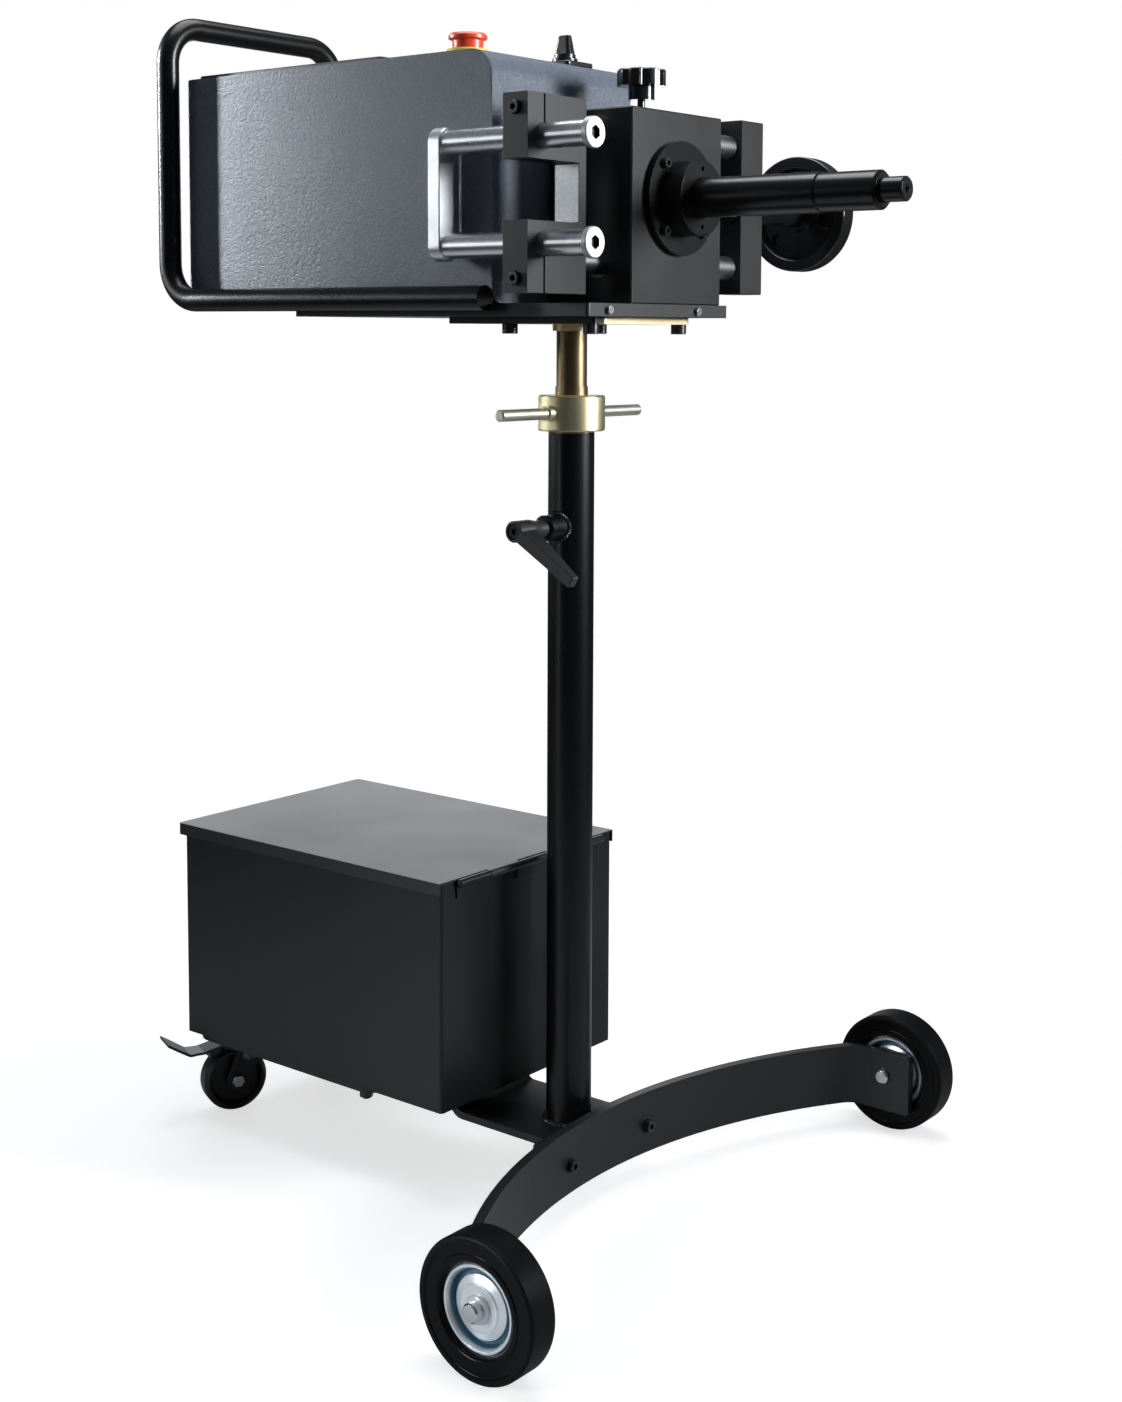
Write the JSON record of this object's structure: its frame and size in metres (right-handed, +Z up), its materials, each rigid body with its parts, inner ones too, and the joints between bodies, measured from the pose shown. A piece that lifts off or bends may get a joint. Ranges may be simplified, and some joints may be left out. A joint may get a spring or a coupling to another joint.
{
  "type": "portable brake disc lathe",
  "caption": "Portable brake disc lathe: driven spindle and cross-fed tool carriage on a lifting post, over a wheeled stand with braked casters and a lidded tool box.",
  "frame": {"origin": "on the floor, in the middle of the machine's outline", "axes": "+X along the spindle towards its nose, +Y to the machine's left, +Z up"},
  "size_m": [0.8536, 0.7606, 1.261],
  "materials": {
    "powder_black": "black satin powder coat",
    "cover_grey": "dark grey textured powder coat",
    "hatch_black": "black matte sheet",
    "anodised_black": "black anodised, milled",
    "oxide_black": "black oxide, turned",
    "chrome_rod": "hard chromed, ground",
    "bright_steel": "bright turned",
    "zinc_rim": "blue zinc plate",
    "zinc_yellow": "yellow zinc plate",
    "brass": "turned",
    "tyre_black": "moulded rubber",
    "caster_black": "moulded",
    "motor_grey": "cast",
    "lever_black": "black textured coat",
    "moulded_black": "moulded",
    "wheel_black": "moulded, polished",
    "stop_red": "moulded",
    "stop_yellow": "moulded"
  },
  "bodies": {
    "stand": {"base_beam": "powder_black", "bar_mount_plate": "powder_black", "front_arc_bar": "powder_black", "stand_bolts": "oxide_black", "column_tube": "powder_black", "column_guide_bush": "brass", "tool_box": "powder_black", "lid_hinge_pin": "bright_steel", "caster_top_plates": "powder_black", "front_axles": "bright_steel"},
    "lid": {"tool_box_lid": "powder_black"},
    "right_front_wheel": {"right_front_tyre": "tyre_black", "right_front_rim": "zinc_rim"},
    "left_front_wheel": {"left_front_tyre": "tyre_black", "left_front_rim": "zinc_rim"},
    "right_caster_swivel": {"right_caster_fork": "powder_black", "right_caster_axle": "bright_steel"},
    "left_caster_swivel": {"left_caster_fork": "powder_black", "left_caster_axle": "bright_steel"},
    "right_caster_roller": {"right_caster_wheel": "caster_black"},
    "left_caster_roller": {"left_caster_wheel": "caster_black"},
    "right_caster_brake": {"right_caster_pedal": "powder_black"},
    "left_caster_brake": {"left_caster_pedal": "powder_black"},
    "nut": {"collar_nut": "brass", "tommy_bars": "bright_steel"},
    "post": {"lift_post": "brass"},
    "post_clamp": {"clamp_lever": "lever_black", "clamp_stud": "oxide_black"},
    "head": {"post_flange_plate": "zinc_yellow", "flange_retainer": "powder_black", "head_cap_screws": "oxide_black", "base_plate": "powder_black", "base_plate_screws": "bright_steel", "cover_shell": "cover_grey", "top_hatch": "hatch_black", "handle_frame": "powder_black", "estop_base": "stop_yellow", "switch_plate": "moulded_black", "drive_motor": "motor_grey", "gearbox_housing": "anodised_black", "gearbox_rear_plate": "anodised_black", "spindle_bearings": "bright_steel", "spindle_flange": "oxide_black", "guide_bushes": "oxide_black", "feed_screw": "bright_steel"},
    "stop_button": {"estop_button": "stop_red"},
    "switch": {"switch_knob": "moulded_black"},
    "rod_lock": {"lock_knob": "moulded_black"},
    "spindle": {"spindle_shaft": "oxide_black", "spindle_gear": "bright_steel"},
    "pinion": {"pinion_shaft": "bright_steel"},
    "carriage": {"tool_block": "anodised_black", "end_block": "anodised_black", "guide_rods": "chrome_rod", "block_clamp_screws": "oxide_black"},
    "feed_wheel": {"feed_nut_sleeve": "oxide_black", "handwheel": "wheel_black"},
    "tool_slide": {"tool_rods": "chrome_rod", "tool_rod_caps": "chrome_rod", "tool_yoke": "bright_steel"}
  },
  "joints": [
    {"name": "lid_hinge", "type": "hinge", "parent": "stand", "child": "lid", "pos_m": [0.01325, 0, 0.3443], "axis": [0, 1, 0], "range_deg": [0, 90]},
    {"name": "right_front_wheel_roll", "type": "hinge", "parent": "stand", "child": "right_front_wheel", "pos_m": [0.25875, -0.358, 0.066], "axis": [0, 1, 0], "continuous": true},
    {"name": "right_caster_swivel", "type": "hinge", "parent": "stand", "child": "right_caster_swivel", "pos_m": [-0.36425, -0.066, 0.09], "axis": [0, 0, 1], "range_deg": [-90, 140]},
    {"name": "right_caster_roll", "type": "hinge", "parent": "right_caster_swivel", "child": "right_caster_roller", "pos_m": [-0.3732, -0.0861, 0.0375], "axis": [-0.9135, 0.4067, 0], "continuous": true},
    {"name": "right_caster_brake", "type": "hinge", "parent": "right_caster_swivel", "child": "right_caster_brake", "pos_m": [-0.37808, -0.09706, 0.081], "axis": [0.9135, -0.4067, 0], "range_deg": [0, 14]},
    {"name": "left_front_wheel_roll", "type": "hinge", "parent": "stand", "child": "left_front_wheel", "pos_m": [0.25875, 0.358, 0.066], "axis": [0, 1, 0], "continuous": true},
    {"name": "left_caster_swivel", "type": "hinge", "parent": "stand", "child": "left_caster_swivel", "pos_m": [-0.36425, 0.066, 0.09], "axis": [0, 0, 1], "range_deg": [-140, 90]},
    {"name": "left_caster_roll", "type": "hinge", "parent": "left_caster_swivel", "child": "left_caster_roller", "pos_m": [-0.3732, 0.0861, 0.0375], "axis": [0.9135, 0.4067, 0], "continuous": true},
    {"name": "left_caster_brake", "type": "hinge", "parent": "left_caster_swivel", "child": "left_caster_brake", "pos_m": [-0.37808, 0.09706, 0.081], "axis": [-0.9135, -0.4067, 0], "range_deg": [0, 14]},
    {"name": "collar_nut_turn", "type": "hinge", "parent": "stand", "child": "nut", "pos_m": [0.06275, 0, 0.8265], "axis": [0, 0, 1], "range_deg": [0, 10800]},
    {"name": "post_lift", "type": "slide", "parent": "stand", "child": "post", "axis": [0, 0, 1], "range_m": [0, 0.18]},
    {"name": "clamp_lever_turn", "type": "hinge", "parent": "stand", "child": "post_clamp", "pos_m": [0.06275, -0.07, 0.709], "axis": [0, -1, 0], "range_deg": [0, 120]},
    {"name": "head_swivel", "type": "hinge", "parent": "post", "child": "head", "pos_m": [0.06275, 0, 0.918], "axis": [0, 0, 1], "range_deg": [-90, 90]},
    {"name": "stop_press", "type": "slide", "parent": "head", "child": "stop_button", "axis": [0, 0, 1], "range_m": [-0.004, 0], "stiffness_N_per_m": 600, "springref_m": 0.003},
    {"name": "switch_turn", "type": "hinge", "parent": "head", "child": "switch", "pos_m": [0.00775, 0.055, 1.198], "axis": [0, 0, 1], "range_deg": [-60, 60]},
    {"name": "rod_lock_turn", "type": "hinge", "parent": "head", "child": "rod_lock", "pos_m": [0.11975, 0.041, 1.14], "axis": [0, 0, 1], "range_deg": [0, 360]},
    {"name": "spindle_spin", "type": "hinge", "parent": "head", "child": "spindle", "pos_m": [0.06275, 0.0465, 1.045], "axis": [1, 0, 0], "continuous": true},
    {"name": "pinion_spin", "type": "hinge", "parent": "head", "child": "pinion", "pos_m": [0.06275, 0.00125, 1.09025], "axis": [1, 0, 0], "continuous": true},
    {"name": "carriage_feed", "type": "slide", "parent": "head", "child": "carriage", "axis": [0, 1, 0], "range_m": [-0.065, 0.004]},
    {"name": "handwheel_turn", "type": "hinge", "parent": "carriage", "child": "feed_wheel", "pos_m": [0.11975, 0.22, 1.045], "axis": [0, 1, 0], "range_deg": [-4680, 288]},
    {"name": "tool_rod_slide", "type": "slide", "parent": "carriage", "child": "tool_slide", "axis": [1, 0, 0], "range_m": [-0.05, 0.085]}
  ],
  "couplings": [
    {"joint": "collar_nut_turn", "follows": "post_lift", "rad_per_m": 1047.2},
    {"joint": "handwheel_turn", "follows": "carriage_feed", "rad_per_m": 1256.6},
    {"joint": "pinion_spin", "follows": "spindle_spin", "ratio": -3}
  ]
}
